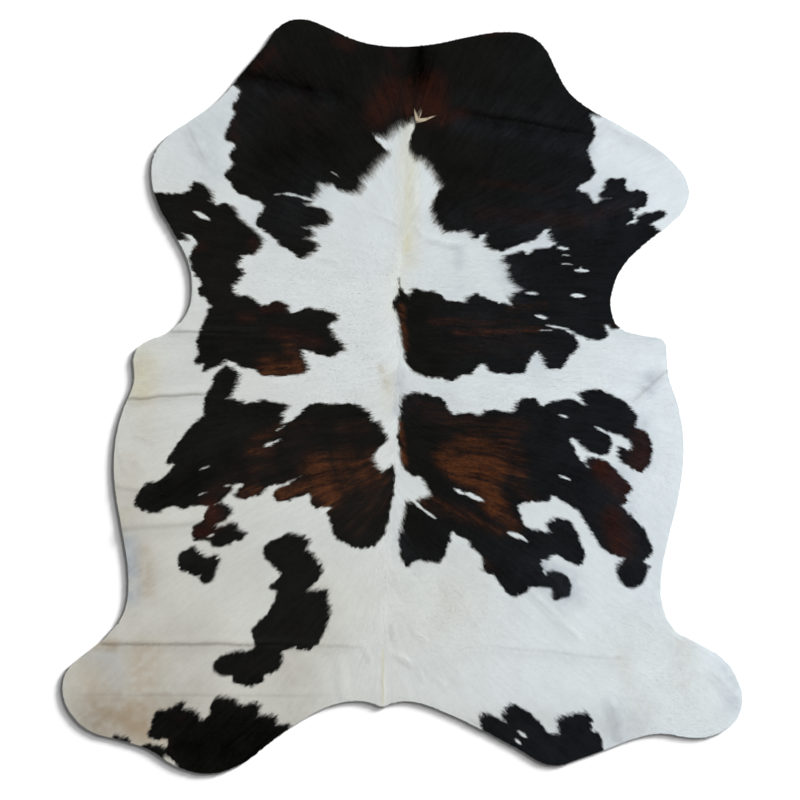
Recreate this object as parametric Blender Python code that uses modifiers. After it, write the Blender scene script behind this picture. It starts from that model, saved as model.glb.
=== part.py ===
"""A hair-on cowhide rug, laid out flat on the floor.

It is one hide, cut to the animal's outline: neck at +Y, forelegs, waist, flanks and hind legs, and the
rump with its tail root at -Y. The leather and the coat that lies on it are one solid. It is thinner at
its cut edge, and lifts off the floor along the soft creases that folding has left.

Metres, +Z up, seen with the hair side up. X runs across the hide. The origin is on the floor, under the
middle of the hide's bounds.
"""

import math

import bmesh
import bpy
from mathutils import Vector
from mathutils.geometry import delaunay_2d_cdt

# Driving dimensions
WIDTH = 1.90  # across the hind legs
LENGTH = 2.11  # from the neck to the hind legs
LEATHER_DEPTH = 0.002
COAT_DEPTH = 0.003  # the short hair, as it lies
DEPTH = LEATHER_DEPTH + COAT_DEPTH

EDGE_STEPS = 4  # straight steps from one edge mark to the next
GRID_PITCH = 0.060  # points over the flat of the hide
EDGE_CLEARANCE = 0.024  # the grid's distance from the edge
CREASE_STEP = 0.035  # points along a crease
CREASE_ROWS = (-1.0, -0.65, -0.3, 0.0, 0.3, 0.65, 1.0)  # rows across a crease, in its half widths

# How the solid thins towards its edge: distance in from the edge, share of the full depth
EDGE_RINGS = ((0.0, 0.40), (0.004, 0.78), (0.012, 1.0))

CM = 0.01
MM = 0.001

# The hide's edge, anticlockwise as seen from above, in one run for each part of the animal.
# Columns: across, along, in centimetres from the middle of the hide.
EDGE = {
    "neck, left": (
        (0.0, 98.0), (-8.0, 98.5), (-15.0, 100.4), (-22.3, 103.8), (-28.9, 105.7), (-34.0, 104.0),
        (-38.4, 98.2), (-43.8, 91.8), (-51.0, 83.4), (-59.0, 77.4),
    ),
    "left foreleg": (
        (-65.4, 73.0), (-69.2, 68.0), (-70.1, 61.8), (-68.3, 54.2), (-63.9, 46.1), (-60.0, 38.2),
        (-58.8, 31.5), (-60.2, 23.4), (-65.4, 17.8),
    ),
    "left flank": (
        (-72.0, 15.0), (-74.7, 12.4), (-75.0, 4.0), (-78.2, -4.2), (-80.4, -14.5), (-80.2, -26.5),
        (-77.9, -39.5), (-76.5, -52.0), (-77.6, -60.6),
    ),
    "left hind leg": (
        (-81.2, -65.8), (-88.0, -71.7), (-93.3, -76.5), (-94.9, -81.5), (-92.9, -88.4), (-86.9, -93.8),
        (-79.0, -96.0), (-70.5, -99.0), (-63.0, -103.6), (-54.5, -105.5), (-45.6, -103.0),
    ),
    "rump": (
        (-37.4, -97.1), (-28.1, -90.3), (-20.0, -86.4), (-12.5, -85.2), (-8.0, -86.0), (-5.5, -86.8),
        (-3.0, -85.8), (2.8, -85.4), (11.0, -87.8), (22.2, -93.1), (33.5, -99.2),
    ),
    "right hind leg": (
        (38.6, -102.2), (43.3, -103.2), (50.0, -101.2), (58.4, -98.2), (66.2, -95.3), (72.8, -94.2),
        (81.6, -95.4), (87.6, -94.6), (92.7, -91.3), (94.9, -85.6), (93.4, -79.3), (89.2, -73.2),
        (81.6, -68.6), (75.6, -65.1), (72.7, -59.4),
    ),
    "right flank": (
        (72.2, -51.0), (74.2, -40.0), (77.4, -26.5), (78.5, -13.5), (77.0, -2.8), (74.2, 6.2),
        (73.7, 12.4),
    ),
    "right foreleg": (
        (73.2, 15.2), (67.2, 17.0), (60.9, 18.8), (58.4, 23.4), (58.8, 30.5), (62.2, 37.4),
        (68.6, 43.8), (75.2, 48.8), (79.1, 53.5), (79.8, 59.0), (76.2, 64.9), (69.3, 70.6),
        (60.2, 76.1),
    ),
    "neck, right": (
        (51.8, 80.8), (46.2, 85.6), (42.7, 91.8), (39.7, 97.6), (35.4, 101.1), (28.8, 102.1),
        (19.5, 100.9), (9.0, 98.7),
    ),
}

# Creases, each a soft ridge along a line. Columns: name, start across and along, end across and along,
# and half width, in centimetres; the ridge's height in millimetres.
CREASES = (
    ("left neck", -46.5, 89.6, -27.0, 88.8, 2.2, 2.0),
    ("right neck", 14.0, 80.0, 56.0, 72.6, 2.6, 2.6),
    ("left shoulder", -61.0, 76.5, -56.0, 64.5, 2.2, 1.6),
    ("right shoulder", 56.0, 74.6, 75.0, 69.4, 2.4, 2.0),
    ("left waist", -68.0, 18.5, -46.0, 17.4, 2.0, 2.2),
    ("left flank, upper", -78.5, -1.0, -53.0, 1.0, 2.2, 3.4),
    ("left flank, middle", -82.0, -23.6, -61.0, -29.2, 2.2, 2.2),
    ("left flank, lower", -80.5, -36.4, -44.0, -34.3, 2.3, 3.2),
    ("right flank", 63.5, -2.2, 76.5, 7.4, 2.4, 2.6),
    ("left thigh", -88.0, -68.9, -26.0, -69.4, 2.3, 3.8),
    ("left thigh, lower", -68.0, -83.3, -17.5, -84.0, 2.4, 1.6),
    ("right thigh", 22.0, -67.6, 62.0, -71.8, 2.6, 1.6),
    ("rump, left", -20.5, -70.5, -15.0, -88.0, 2.4, 2.4),
    ("rump, inner left", -12.5, -64.5, -6.6, -84.5, 2.2, 1.8),
    ("rump, right", -3.0, -68.5, 9.5, -81.5, 2.4, 1.8),
    ("right hind leg, inner", 55.5, -83.5, 63.5, -98.0, 2.4, 2.2),
    ("right hind leg, outer", 86.0, -81.0, 96.0, -91.0, 2.2, 1.8),
)

# Colour and roughness of each side
COAT_LOOK = ((0.66, 0.68, 0.68, 1.0), 0.55)
SUEDE_LOOK = ((0.52, 0.40, 0.28, 1.0), 0.92)


def clear_scene():
    for thing in list(bpy.data.objects):
        bpy.data.objects.remove(thing, do_unlink=True)


def smooth_edge():
    """The edge as a closed run of points in metres, on a smooth curve through the edge marks."""
    marks = [mark for run in EDGE.values() for mark in run]
    curve = bpy.data.curves.new("hide_edge", "CURVE")
    curve.dimensions = "2D"
    curve.fill_mode = "NONE"
    curve.resolution_u = EDGE_STEPS
    spline = curve.splines.new("BEZIER")
    spline.bezier_points.add(len(marks) - 1)
    for point, (across, along) in zip(spline.bezier_points, marks):
        point.co = (across * CM, along * CM, 0.0)
        point.handle_left_type = "AUTO"
        point.handle_right_type = "AUTO"
    spline.use_cyclic_u = True
    spline.resolution_u = EDGE_STEPS
    guide = bpy.data.objects.new("hide_edge", curve)
    bpy.context.scene.collection.objects.link(guide)
    evaluated = guide.evaluated_get(bpy.context.evaluated_depsgraph_get())
    points = [vertex.co.xy.copy() for vertex in evaluated.to_mesh().vertices]
    evaluated.to_mesh_clear()
    bpy.data.objects.remove(guide)
    return fitted(points)


def fitted(points):
    """The points, moved and stretched slightly so that their bounds are WIDTH by LENGTH about the origin."""
    low = Vector((min(p.x for p in points), min(p.y for p in points)))
    high = Vector((max(p.x for p in points), max(p.y for p in points)))
    middle = (low + high) / 2
    stretch = Vector((WIDTH / (high.x - low.x), LENGTH / (high.y - low.y)))
    return [(p - middle) * stretch for p in points]


def inset(points, distance):
    """The closed run of points, moved in from the edge by this distance."""
    moved = []
    for index, point in enumerate(points):
        onward = (points[(index + 1) % len(points)] - points[index - 1]).normalized()
        moved.append(point + Vector((-onward.y, onward.x)) * distance)
    return moved


def inside(point, loop):
    """Whether the point lies inside the closed loop."""
    crossed = False
    for a, b in zip(loop, loop[1:] + loop[:1]):
        if (a.y > point.y) != (b.y > point.y):
            crossed ^= point.x < a.x + (b.x - a.x) * (point.y - a.y) / (b.y - a.y)
    return crossed


def crease_frame(crease):
    """Start, unit direction, length and half width of a crease in metres, and its height."""
    _, start_across, start_along, end_across, end_along, half_width, height = crease
    start = Vector((start_across, start_along)) * CM
    run = Vector((end_across, end_along)) * CM - start
    return start, run.normalized(), run.length, half_width * CM, height * MM


def soft_step(share):
    share = min(max(share, 0.0), 1.0)
    return share * share * (3.0 - 2.0 * share)


def lift(point):
    """Height of the underside over the floor at this point."""
    total = 0.0
    for crease in CREASES:
        start, direction, length, half_width, height = crease_frame(crease)
        offset = point - start
        along = offset.dot(direction)
        aside = abs(direction.cross(offset))
        if 0.0 < along < length and aside < half_width:
            fade = soft_step(min(along, length - along) / (0.25 * length))
            total += height * fade * (0.5 + 0.5 * math.cos(math.pi * aside / half_width))
    return total


def crease_points(room):
    """Rows of points over each crease, where they lie inside the room."""
    points = []
    for crease in CREASES:
        start, direction, length, half_width, _ = crease_frame(crease)
        sideways = Vector((-direction.y, direction.x)) * half_width
        steps = round(length / CREASE_STEP)
        for step in range(steps + 1):
            centre = start + direction * length * step / steps
            points += [centre + sideways * row for row in CREASE_ROWS]
    return [point for point in points if inside(point, room)]


def near_crease(point):
    for crease in CREASES:
        start, direction, length, half_width, _ = crease_frame(crease)
        offset = point - start
        beyond = abs(offset.dot(direction) - length / 2) - length / 2
        if beyond < GRID_PITCH / 3 and abs(direction.cross(offset)) < half_width + GRID_PITCH / 3:
            return True
    return False


def grid_points(room):
    """An even triangular grid over the flat of the hide, clear of its creases."""
    row_pitch = GRID_PITCH * math.sqrt(3) / 2
    rows = math.ceil(LENGTH / 2 / row_pitch)
    columns = math.ceil(WIDTH / 2 / GRID_PITCH)
    points = []
    for row in range(-rows, rows + 1):
        shift = 0.5 * (row % 2)
        for column in range(-columns, columns + 1):
            point = Vector(((column + shift) * GRID_PITCH, row * row_pitch))
            if inside(point, room) and not near_crease(point):
                points.append(point)
    return points


def hide_mesh():
    """The underside of the hide as an open surface, and each point's share of the full depth."""
    edge = smooth_edge()
    points = []
    borders = []
    shares = []
    for distance, share in EDGE_RINGS:
        ring = inset(edge, distance)
        first = len(points)
        borders += [(first + i, first + (i + 1) % len(ring)) for i in range(len(ring))]
        points += ring
        shares += [share] * len(ring)
    room = inset(edge, EDGE_CLEARANCE)
    points += crease_points(room) + grid_points(room)
    shares += [1.0] * (len(points) - len(shares))
    inside_borders = 1
    flat, _, triangles, sources, _, _ = delaunay_2d_cdt(points, borders, [], inside_borders, 1e-5)
    bm = bmesh.new()
    corners = [bm.verts.new((point.x, point.y, lift(point))) for point in flat]
    for triangle in triangles:
        bm.faces.new([corners[index] for index in triangle])
    bmesh.ops.recalc_face_normals(bm, faces=bm.faces)
    if sum(face.normal.z for face in bm.faces) < 0:
        bmesh.ops.reverse_faces(bm, faces=bm.faces)
    mesh = bpy.data.meshes.new("hide")
    bm.to_mesh(mesh)
    bm.free()
    return mesh, [shares[min(source)] for source in sources]


def material(name, look):
    colour, roughness = look
    made = bpy.data.materials.new(name)
    made.use_nodes = True
    shader = made.node_tree.nodes["Principled BSDF"]
    shader.inputs["Base Color"].default_value = colour
    shader.inputs["Roughness"].default_value = roughness
    shader.inputs["Metallic"].default_value = 0.0
    made.diffuse_color = colour
    return made


def build_hide(collection):
    """The hide: the open underside thickened upwards, less towards its edge."""
    mesh, shares = hide_mesh()
    mesh.materials.append(material("coat", COAT_LOOK))
    mesh.materials.append(material("suede", SUEDE_LOOK))
    hide = bpy.data.objects.new("hide", mesh)
    collection.objects.link(hide)
    depth_group = hide.vertex_groups.new(name="depth")
    for index, share in enumerate(shares):
        depth_group.add([index], share, "REPLACE")
    solidify = hide.modifiers.new("depth", "SOLIDIFY")
    solidify.thickness = DEPTH
    solidify.offset = 1.0
    solidify.vertex_group = depth_group.name
    solidify.use_even_offset = False
    solidify.material_offset = 1
    mesh.shade_smooth()
    return hide


def main():
    clear_scene()
    rug = bpy.data.collections.new("cowhide_rug")
    bpy.context.scene.collection.children.link(rug)
    build_hide(rug)


main()
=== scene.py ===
"""The looks of a hair-on cowhide rug, laid out flat on a pale floor and seen from straight above.

The leather is one thin closed sheet on the folds of its solid. The coat is hair in many thousand small
locks, which lie along the flow from the spine outwards and carry the dark patches, the brindled brown,
the stains and the cream tuft at the withers, with painted shade in the creases and painted sheen on the
dark hair. Metres, +Z up, the neck at +Y, as in the frame.
"""

import math

import bmesh
import bpy
import numpy as np
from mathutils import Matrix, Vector
from mathutils.geometry import delaunay_2d_cdt


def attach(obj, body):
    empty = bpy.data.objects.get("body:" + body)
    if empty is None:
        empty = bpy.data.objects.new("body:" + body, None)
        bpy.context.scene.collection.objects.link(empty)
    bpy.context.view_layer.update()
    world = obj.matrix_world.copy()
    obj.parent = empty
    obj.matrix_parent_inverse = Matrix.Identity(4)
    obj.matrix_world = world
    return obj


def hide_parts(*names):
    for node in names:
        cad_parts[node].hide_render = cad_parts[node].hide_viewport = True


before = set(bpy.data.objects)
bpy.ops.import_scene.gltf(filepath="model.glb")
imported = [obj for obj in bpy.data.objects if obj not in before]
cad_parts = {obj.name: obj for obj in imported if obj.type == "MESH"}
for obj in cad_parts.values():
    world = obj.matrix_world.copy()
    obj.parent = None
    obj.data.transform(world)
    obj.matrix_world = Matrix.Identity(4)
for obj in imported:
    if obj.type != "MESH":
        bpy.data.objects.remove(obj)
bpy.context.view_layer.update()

CM = 0.01
MM = 0.001
SEED = 20

# The hide as it is cut
HIDE_WIDTH = 1.90
HIDE_LENGTH = 2.11
LEATHER_DEPTH = 2.0 * MM

# The sheet's points
SHEET_PITCH = 8.4 * MM
RIM_STEP = 5.0 * MM
RIM_RINGS = (0.0, 1.2 * MM, 4.0 * MM)  # distances in from the edge
MERGE_DISTANCE = 0.001 * MM  # points of the sheet this near are one
WELD_DISTANCE = 0.01 * MM  # and points of the solid

# The coat
LOCK_PITCH = 3.15 * MM  # between neighbouring roots
LOCK_LENGTH = 16.0 * MM
LOCK_WIDTH = 3.3 * MM
LOCK_RISE = 1.9 * MM  # a tip's height over the leather
LOCK_LENGTHS = (0.75, 1.2)  # the least and the most, as shares of the sizes above
LOCK_WIDTHS = (0.7, 1.3)
LOCK_RISES = (0.7, 1.0)
LOCK_TURN = 6.0  # degrees that a lock commonly strays from the flow
LOCK_MIDDLE = 0.45  # where a lock is widest, as a share of its length
LOCK_LIFTS = (-0.1, 0.6, 0.6, 1.0)  # of a lock's root, two sides and tip, as shares of its rise
LOCK_TONE = 0.2  # how much lighter or darker a lock may be
SHORTEST_LOCK = 3.0 * MM
ROOT_MARGIN = 0.3 * MM  # no root is nearer to the cut edge
OVERHANG = 0.5 * MM  # how far hair reaches past the cut edge
EDGE_TRIM = 1.15  # how much shorter a lock gets, as a share of what would reach further
COLOUR_POINT = 0.67  # where on a lock its colour is read, as a share of its length

# The camera looks straight down on this much of the floor
VIEW_WIDTH = 2.240
VIEW_CENTRE = (-0.7 * CM, -1.05 * CM)
LENS = 100.0
SENSOR = 36.0
SIGHT = 100.0  # how far off the camera still sees

# Folds, each a soft ridge with a crease along its top. Columns: start across and along, end across and
# along, and half width, in centimetres; height, and half width of the crease, in millimetres; how dark
# the crease's painted shade is, from 0 to 1, which also deepens its trough.
FOLDS = {
    "left neck": (-47.5, 90.4, -16, 84, 3.2, 1.6, 4, 0.5),
    "middle neck": (5, 99.5, 5.2, 89.5, 1.8, 0.8, 6, 0.6),
    "right neck": (12, 80.4, 57, 72.2, 3.6, 3, 5, 1),
    "right neck, upright": (27.5, 75, 21.5, 53, 2, 0.8, 4, 0.5),
    "left shoulder": (-61, 78, -54, 63.5, 3, 2, 5, 0.12),
    "right shoulder": (55, 75.8, 77, 67.6, 3, 2, 5, 0.1),
    "withers, left": (-9.5, 51.6, 0.5, 47.2, 1.3, 1, 4, 0.05),
    "withers, upright": (3.2, 61, 2.8, 52.5, 1.6, 2, 4, 0),
    "withers, right": (2.8, 48.4, 5.6, 44, 1.4, 1.6, 4, 0.1),
    "withers, far right": (5, 44.8, 17.5, 41.2, 2, 2.6, 4, 0.08),
    "withers, far left": (-26, 39.4, -16, 36.6, 1.8, 0.8, 4, 0.08),
    "left waist": (-72, 18.4, -36, 17, 2.4, 1.8, 4, 0.4),
    "left waist, upper": (-56, 21.2, -36, 20.8, 1.6, 0.5, 4, 0.3),
    "left flank, upper": (-83, -1.4, -50, 1, 3, 2.8, 4.4, 0.5),
    "left flank, ruffled upper": (-76, -10.5, -67.5, -14, 1.5, 1.3, 4, 0.1),
    "left flank, ruffled outer": (-79.5, -12, -77, -22, 1.5, 1.6, 4, 0),
    "left flank, ruffled inner": (-76, -17, -71.5, -21.5, 1.5, 1.5, 4, 0.06),
    "left flank, middle": (-86, -24, -61, -29.4, 3.4, 2.4, 6, 0.2),
    "left flank, lower": (-88, -38, -44, -34.8, 4, 3.4, 8, 0.22),
    "right flank": (62, -3.5, 80, 12.5, 3, 2.4, 5, 0.25),
    "right flank, inner": (-2, -8.7, 18, -8.5, 1.6, 0.5, 4, 0.5),
    "left thigh": (-99, -69.2, -22, -69.7, 3, 3, 4.6, 0.5),
    "left thigh, inner": (-34, -69.6, -9, -70.2, 2, 1.4, 4, 0.22),
    "left thigh, lower": (-100, -83.4, -14, -83.9, 3, 1.4, 4, 0.17),
    "right thigh": (18, -69.4, 70, -74.4, 3.2, 1.6, 5, 0.1),
    "right thigh, upper": (32.5, -52, 52, -71, 2.4, 1.8, 5, 0.1),
    "rump, left": (-18.2, -71, -15, -92, 2.8, 4.2, 4, 0),
    "rump, inner left": (-11.6, -68.5, -8, -75.5, 1.6, 2.2, 4, 0),
    "rump, middle": (-5.3, -70.5, -5.3, -92, 0.6, 1, 4, 0),
    "rump, upper": (-3.4, -62.5, -2.6, -68.5, 1.3, 1.8, 4, 0.08),
    "rump, upper right": (2, -65.8, 7, -68.6, 1.4, 1.5, 4, 0.06),
    "rump, right": (-3.8, -71.4, 4, -75.8, 1.8, 2.8, 4, 0.06),
    "rump, lower right": (4.4, -76.4, 6.2, -80.6, 1.4, 1.3, 4, 0.04),
    "rump, far right": (7.5, -78.2, 12.5, -81, 1.4, 1.1, 4, 0.05),
    "right hind leg, inner": (56.5, -82, 62.5, -100, 3, 2.4, 6, 0.12),
    "right hind leg, outer": (84, -75, 99, -90, 2.8, 2, 5, 0.1),
}
CREASE_SHARE = 1.1  # of a fold's height that its crease takes back, where it is fully dark
CREASE_REACH = 2.0  # from a crease's middle to its ends, as a share of its half width
SOFT_SHADE_SHARE = 0.2  # of a crease's painted shade, in a wider soft band
SOFT_SHADE_WIDTH = 3.0  # as a share of the crease's half width
FOLD_FADE = 0.25  # the share of a fold's length at each end in which it fades in
FOLD_WANDER = 2.5 * MM  # how far a fold strays from a straight line
FOLD_WANDER_CELL = 45.0 * MM
UNEVEN_HEIGHT = 1.4 * MM
UNEVEN_CELL = 60.0 * MM
SETTLED_RIM = 12.0 * MM  # the width along the edge in which the folds run out

# Dark patches, each a closed outline. Columns: across and along, in centimetres.
PATCHES = {
    "neck, right shoulder and waist": (
        (-49, 90), (-46.5, 88.3), (-47.8, 87.4), (-45, 85.6), (-47.8, 81), (-47, 79.5), (-49.7, 73.5),
        (-49, 72), (-46.8, 70.2), (-48.5, 67.5), (-47, 65), (-49.8, 61.8), (-47.6, 59.7), (-47, 58),
        (-43, 56), (-39.5, 54.5), (-38, 53.6), (-39.2, 52), (-41, 49.5), (-40, 47.5), (-36.5, 45),
        (-33, 41.8), (-29.5, 39.5), (-28, 39.2), (-24.8, 41), (-24.2, 42.5), (-25.4, 43.5), (-27.9, 44.2),
        (-25.6, 45.1), (-25.2, 45.9), (-26.4, 46.8), (-28, 47.3), (-23.8, 47.9), (-21.4, 48.4),
        (-20.3, 49.8), (-21, 51.4), (-22.4, 52.7), (-24.9, 53.2), (-27.4, 53.5), (-25.6, 54.6),
        (-25.2, 56.2), (-24, 58.2), (-23.2, 60), (-21.6, 59.5), (-19.4, 59.6), (-18.4, 58.2), (-15.5, 57.6),
        (-13.4, 57.6), (-11.8, 59.3), (-12, 61), (-10, 62.5), (-8.5, 64.5), (-4.5, 68.5), (-5.5, 70),
        (-8.2, 73.2), (-4.6, 73.3), (-2.8, 75.2), (-0.2, 76.6), (3, 77.6), (3.5, 75.8), (2.8, 73.8),
        (2, 70.6), (3.4, 67.6), (6.6, 66.2), (8.6, 64.1), (10.1, 61.3), (11.2, 58.8), (9.6, 56.2),
        (8.6, 53.4), (9.5, 50.2), (11.4, 47.6), (13, 46.5), (18.8, 46.5), (20.3, 44.7), (23.7, 45.8),
        (23.5, 43), (26, 41), (30, 41.5), (33.5, 43), (36.5, 43.8), (38.5, 45.5), (40.3, 47.3),
        (41.5, 46.8), (41.3, 45.2), (43.3, 42.5), (41, 41.8), (38, 41.3), (35, 39.8), (34, 40.8),
        (30.5, 39.8), (28, 38), (30, 37), (30, 33.5), (33.5, 30), (30.5, 28), (31, 25.5), (29, 25.8),
        (25, 26.5), (21, 28.5), (18.5, 27.7), (17.5, 26.5), (13.5, 26.5), (9, 29.3), (5, 29.5), (3.5, 30),
        (1.3, 28), (-0.5, 31.5), (-1, 32), (-0.8, 29), (-2.7, 26), (-1.3, 23), (0.3, 15), (1.3, 9.5),
        (3.5, 7), (7, 5.7), (11.5, 5.3), (14, 4.5), (16.5, 6), (19.5, 6.3), (20.8, 8.8), (23.3, 9),
        (25.5, 6.8), (30, 6.5), (34, 7.2), (35.2, 9.5), (37.5, 12.8), (39.2, 11), (40.7, 8.2), (44.5, 8.2),
        (47, 11.7), (49.3, 14), (48, 16.8), (44.5, 19.4), (47, 18.8), (50.5, 17), (55, 15.7), (57.2, 17.2),
        (56.7, 20.3), (59.8, 19), (62, 20.5), (61, 27), (63, 34), (69, 41), (73.5, 45), (71.6, 46.8),
        (70.8, 47.7), (69.2, 48.2), (70.8, 49), (72.9, 50), (73.9, 51.3), (72.6, 52), (70.1, 51.7),
        (68, 51.2), (65.9, 49.9), (65.2, 48.5), (62.9, 48.2), (64.2, 49.5), (65, 50.9), (64, 52.8),
        (65.6, 52.5), (67.5, 53.4), (68.3, 55.1), (68.7, 56.5), (67.3, 57.3), (65.6, 57.8), (63.8, 57.4),
        (62.6, 58.6), (62.4, 60), (61.7, 61.2), (60.3, 61), (58, 61.1), (57, 60), (56.6, 58.2),
        (55.5, 56.7), (55.7, 55.7), (57.8, 55.7), (55.4, 54.7), (53.5, 53.8), (52.9, 55.1), (52.2, 56.5),
        (50.5, 57), (49.1, 58.2), (49.8, 59.3), (51.9, 60.3), (52.6, 61.4), (54, 63.3), (52.9, 65.5),
        (51.8, 69), (53.5, 72.8), (53.7, 76), (52, 79), (53.5, 79.6), (55.3, 78.7), (57, 80), (50, 86),
        (46, 95), (42, 102), (35, 105), (20, 104), (5, 101), (-5, 101), (-18, 105), (-28, 109), (-36, 107),
        (-42, 99),
    ),
    "left shoulder and waist": (
        (-69.3, 57), (-67, 56.9), (-65, 56.7), (-60, 57.3), (-58.5, 60), (-55.5, 59.3), (-53.5, 56.5),
        (-54, 55.3), (-52, 53.5), (-50, 54), (-47.5, 52.8), (-46, 50), (-43, 47.5), (-40.3, 45),
        (-39.7, 42.7), (-41.5, 40.2), (-45, 39.5), (-46.5, 36.5), (-45, 35.5), (-46, 33), (-48, 30.5),
        (-46.3, 28.3), (-43, 27.8), (-39.5, 25.4), (-35, 26.5), (-32.2, 25.3), (-31.3, 23.2), (-27, 24.7),
        (-21.5, 23.9), (-18.2, 22), (-21, 19.8), (-18.3, 16), (-16.2, 13.3), (-18.5, 12.4), (-20.5, 11.2),
        (-25, 12.5), (-28.5, 12.9), (-27, 9), (-27.8, 6.8), (-33.5, 5.9), (-39.3, 6.1), (-41.5, 7.9),
        (-45, 8.4), (-48.7, 10.7), (-51.2, 9), (-55.7, 7.4), (-55.5, 9.3), (-57.9, 9.3), (-57.2, 12.5),
        (-57.8, 15.5), (-56.2, 19), (-54.3, 24), (-53, 25.3), (-57, 29.5), (-56.3, 32), (-59.2, 36.3),
        (-59, 41), (-57.3, 43), (-58.8, 45), (-61.5, 45.7), (-60.3, 44.3), (-62.7, 44), (-66, 44),
        (-71, 52), (-71.5, 57),
    ),
    "left flank": (
        (-51.8, 7), (-49, 8.3), (-46.5, 6.5), (-46, 5), (-48.3, 0.8), (-48.8, -0.7), (-44.7, -1.5),
        (-45.9, -2.4), (-43.2, -1.9), (-38.9, -1.3), (-35.8, -1.7), (-32.5, -2.8), (-34.3, -5.1),
        (-33.3, -5.9), (-34.6, -7.9), (-30, -6.1), (-27.7, -3.6), (-25, -2), (-20, -2.2), (-13.8, -2.2),
        (-10.2, -4), (-8.2, -7.3), (-6.7, -7.5), (-5.3, -10), (-4.6, -12.3), (-7.1, -14.6), (-8.4, -17.3),
        (-7.3, -20.4), (-5.7, -21), (-2.8, -19.8), (-2.3, -23.9), (-3.8, -32.7), (-5.7, -39.1), (-9.2, -42),
        (-12.7, -42.2), (-16.1, -40.7), (-18.7, -39.7), (-19.5, -37.4), (-20.4, -33.9), (-21.4, -32.7),
        (-19.8, -30.8), (-25, -30.8), (-25.8, -27.5), (-28.1, -27.5), (-33.1, -29.2), (-36.2, -27.9),
        (-35.1, -26), (-32, -24.7), (-28.5, -22.1), (-32, -23.7), (-37.4, -25), (-40.5, -27.4),
        (-45.5, -28.6), (-46.8, -27.4), (-44, -24.1), (-46.3, -24.4), (-49.7, -25), (-47.8, -26),
        (-52, -29.9), (-54, -30.3), (-59.1, -30.4), (-61.4, -31.2), (-65.3, -30.7), (-68.7, -32.4),
        (-71.8, -32), (-75.1, -30), (-72.6, -25.2), (-68.3, -23.5), (-65.3, -20.8), (-63.5, -18.8),
        (-66, -17.9), (-61.2, -10.7), (-58.3, -7.5), (-56, -5.7), (-55.4, -4.2), (-55.6, -2.2), (-53.5, 3),
    ),
    "under the left flank": (
        (-54, -30.4), (-52, -30), (-50, -30.2), (-48.4, -31.2), (-48.2, -32.6), (-49.4, -34), (-51.2, -35),
        (-52.6, -35.9), (-52, -36.8), (-50, -36.2), (-48, -35.4), (-46.6, -36.2), (-46, -37.6),
        (-44.2, -38.2), (-45, -39.6), (-47.2, -40.4), (-48.8, -41.4), (-52, -41.6), (-53.6, -41.2),
        (-54.4, -40), (-56.4, -39.8), (-58.6, -39.8), (-58.4, -36.6), (-57.6, -35.8), (-55.8, -35),
        (-55.4, -33), (-54.4, -31.4),
    ),
    "left spot": (
        (-58.8, -42.2), (-60.8, -43), (-62.4, -44.2), (-62.8, -46.2), (-62, -48.2), (-60, -48.6),
        (-59.2, -49.7), (-57.6, -50.3), (-56.5, -49.8), (-56.5, -51.1), (-55.6, -52.4), (-54, -52),
        (-53, -50.2), (-52.2, -47.8), (-51.6, -46.2), (-52.6, -44.6), (-54.4, -45.3), (-56, -44.2),
        (-57.4, -43.4),
    ),
    "left thigh": (
        (-32.7, -38.7), (-29.3, -38.9), (-26.2, -40.5), (-27.5, -43), (-26.2, -43.7), (-25, -44.9),
        (-22.7, -48.4), (-23.8, -51.1), (-26.9, -54.4), (-25, -54.4), (-21.5, -54.4), (-21.2, -58.7),
        (-20.6, -60.6), (-22.7, -67.6), (-25.4, -70.3), (-29.3, -71.1), (-30.2, -70.3), (-33.7, -71.2),
        (-33.9, -73.2), (-34.9, -76.3), (-38.6, -77.8), (-39.4, -79.5), (-42.9, -81), (-46.8, -80),
        (-48, -78), (-50.6, -78), (-52.4, -77), (-52.7, -75.2), (-51.4, -73.2), (-48, -71.9),
        (-44.5, -71.5), (-41.2, -70.4), (-41.8, -67.4), (-41.4, -64.3), (-36.6, -59.5), (-35.4, -55.1),
        (-34.1, -54.4), (-37, -53.4), (-34.1, -49.7), (-36.2, -47), (-38.6, -44.7), (-38.6, -41.8),
        (-35.1, -39.9),
    ),
    "left hind leg": (
        (-62.6, -103.9), (-64, -101.6), (-66.3, -99.6), (-65.3, -95.8), (-68.7, -95.9), (-70.9, -94.2),
        (-68.7, -88.1), (-66.4, -88.1), (-61.8, -85.8), (-61.4, -87.6), (-59, -88), (-57.3, -89.4),
        (-56.2, -90.6), (-54.4, -89.6), (-53.6, -87.2), (-52.9, -85.2), (-50.6, -84.3), (-47, -85.1),
        (-45.4, -86.6), (-42.2, -86), (-39.9, -86.8), (-40.3, -89.3), (-36.2, -89.6), (-35, -92),
        (-31.5, -92.4), (-33, -97), (-42, -105), (-52, -109), (-62, -107),
    ),
    "left hind leg, edge": (
        (-72.4, -97.8), (-68.7, -97.7), (-66.2, -98.8), (-66.8, -100.2), (-68, -102), (-73, -100),
    ),
    "left hind leg, rim": (
        (-81.2, -94.9), (-79.2, -95.2), (-77.5, -95.8), (-76.2, -96.7), (-78.4, -98), (-80.8, -97),
    ),
    "right hind leg": (
        (22.2, -93), (21.8, -89.8), (23.3, -88.9), (26.4, -90.2), (29.9, -91.5), (28.3, -89.8),
        (29.9, -86.7), (32.2, -86.7), (35.3, -88.4), (38.2, -91), (40.7, -94.2), (44, -94.2), (43.8, -90.4),
        (47.7, -89), (51.5, -89), (52.7, -90), (52.9, -93.9), (54.2, -93.9), (56.3, -98.9), (54, -104),
        (43, -107), (33, -103), (22, -96),
    ),
    "right flank": (
        (0.9, -0.3), (4.8, 0.9), (11, -0.7), (12.3, -2.6), (14.1, -5), (17.1, -4.7), (21.8, -5.3),
        (24.5, -4), (31, -4.6), (32.6, -1.5), (36.1, -0.4), (39.5, -2.6), (43, -1.3), (46.9, -0.9),
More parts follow.
